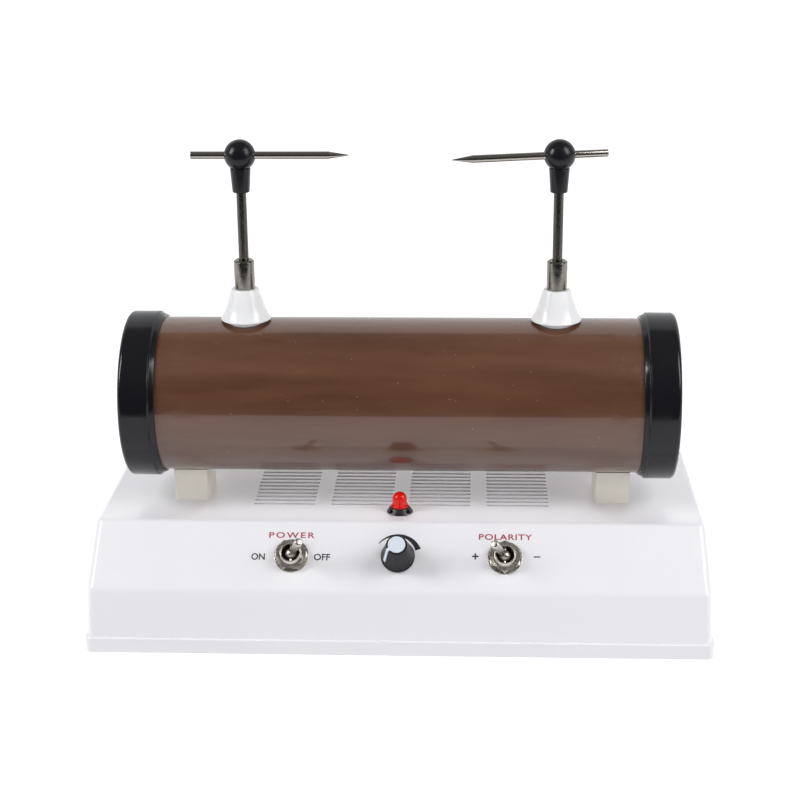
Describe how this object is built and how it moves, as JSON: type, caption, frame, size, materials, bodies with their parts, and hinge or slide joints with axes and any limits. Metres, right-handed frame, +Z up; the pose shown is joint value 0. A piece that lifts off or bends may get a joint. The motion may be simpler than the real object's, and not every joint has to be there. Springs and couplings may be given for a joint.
{
  "type": "induction coil",
  "caption": "Bench induction coil: a capped brown tube on two blocks, two insulated posts with sliding needle rods, and a slotted white housing with switches, knob and lamp.",
  "frame": {"origin": "on the bench, under the middle of the housing", "axes": "+X to the right along the coil, +Y from the front panel to the back, +Z up"},
  "size_m": [0.3426, 0.15, 0.2692],
  "materials": {
    "white_moulding": "glossy",
    "grey_white_moulding": "satin",
    "zinc_steel": "zinc plated",
    "foot_rubber": "matt",
    "grommet_rubber": "matt",
    "ivory_block": "satin",
    "brown_tube": "varnished",
    "black_cap": "glossy",
    "soft_iron": "bare",
    "copper_winding": "enamelled",
    "paper_tube": "waxed",
    "bobbin_plastic": "satin",
    "white_insulator": "glossy",
    "nickelled_brass": "polished",
    "black_ball": "glossy",
    "needle_steel": "bright",
    "switch_shell": "satin",
    "nickelled_steel": "polished",
    "lever_chrome": "polished",
    "knob_black": "satin",
    "knob_pale": "satin",
    "potentiometer_can": "satin",
    "lamp_red": "clear tinted",
    "clip_black": "satin",
    "board_green": "satin",
    "board_brass": "bright",
    "capacitor_sleeve": "glossy",
    "sink_aluminium": "satin",
    "transistor_black": "satin",
    "core_steel": "varnished",
    "fuse_glass": "clear"
  },
  "bodies": {
    "stand": {"base_housing": "white_moulding", "bottom_cover": "grey_white_moulding", "cover_screws": "zinc_steel", "rubber_feet": "foot_rubber", "foot_screws": "zinc_steel", "cable_grommet": "grommet_rubber", "left_saddle": "ivory_block", "right_saddle": "ivory_block", "saddle_bolts": "zinc_steel", "coil_tube": "brown_tube", "left_end_cap": "black_cap", "right_end_cap": "black_cap", "iron_core": "soft_iron", "primary_winding": "copper_winding", "insulating_tube": "paper_tube", "secondary_bobbin": "bobbin_plastic", "secondary_winding": "copper_winding", "left_insulator": "white_insulator", "right_insulator": "white_insulator", "left_collar": "nickelled_brass", "right_collar": "nickelled_brass", "left_stem": "nickelled_brass", "right_stem": "nickelled_brass", "stem_nuts": "nickelled_brass", "left_switch_body": "switch_shell", "right_switch_body": "switch_shell", "switch_washers": "nickelled_steel", "switch_nuts": "nickelled_steel", "lever_pins": "nickelled_steel", "potentiometer": "potentiometer_can", "potentiometer_nut": "nickelled_steel", "pilot_lamp": "lamp_red", "lamp_clip": "clip_black", "circuit_board": "board_green", "board_spacers": "board_brass", "board_screws": "zinc_steel", "smoothing_capacitor": "capacitor_sleeve", "heat_sink": "sink_aluminium", "switching_transistor": "transistor_black", "transformer_core": "core_steel", "transformer_winding": "copper_winding", "fuse": "fuse_glass", "fuse_clips": "board_brass"},
    "left_head": {"left_ball_head": "black_ball"},
    "right_head": {"right_ball_head": "black_ball"},
    "left_rod": {"left_needle_rod": "needle_steel"},
    "right_rod": {"right_needle_rod": "needle_steel"},
    "left_switch_lever": {"left_lever": "lever_chrome"},
    "right_switch_lever": {"right_lever": "lever_chrome"},
    "knob": {"knob": "knob_black", "knob_cap": "knob_pale", "potentiometer_shaft": "nickelled_steel"}
  },
  "joints": [
    {"name": "left_switch", "type": "hinge", "parent": "stand", "child": "left_switch_lever", "pos_m": [-0.058, -0.06019, 0.05421], "axis": [0, 0.7071, 0.7071], "range_deg": [-36, 0]},
    {"name": "right_switch", "type": "hinge", "parent": "stand", "child": "right_switch_lever", "pos_m": [0.058, -0.06019, 0.05421], "axis": [0, 0.7071, 0.7071], "range_deg": [0, 36]},
    {"name": "knob_turn", "type": "hinge", "parent": "stand", "child": "knob", "pos_m": [0, -0.06358, 0.05761], "axis": [0, -0.7071, 0.7071], "range_deg": [-270, 0]},
    {"name": "left_head_turn", "type": "hinge", "parent": "stand", "child": "left_head", "pos_m": [-0.0856, 0, 0.2607], "axis": [0, 0, 1], "continuous": true},
    {"name": "right_head_turn", "type": "hinge", "parent": "stand", "child": "right_head", "pos_m": [0.0856, 0, 0.2607], "axis": [0, 0, 1], "continuous": true},
    {"name": "left_rod_slide", "type": "slide", "parent": "left_head", "child": "left_rod", "axis": [1, 0, 0], "range_m": [-0.035, 0.018]},
    {"name": "right_rod_slide", "type": "slide", "parent": "right_head", "child": "right_rod", "axis": [-0.9744, -0.225, 0], "range_m": [-0.035, 0.018]}
  ]
}
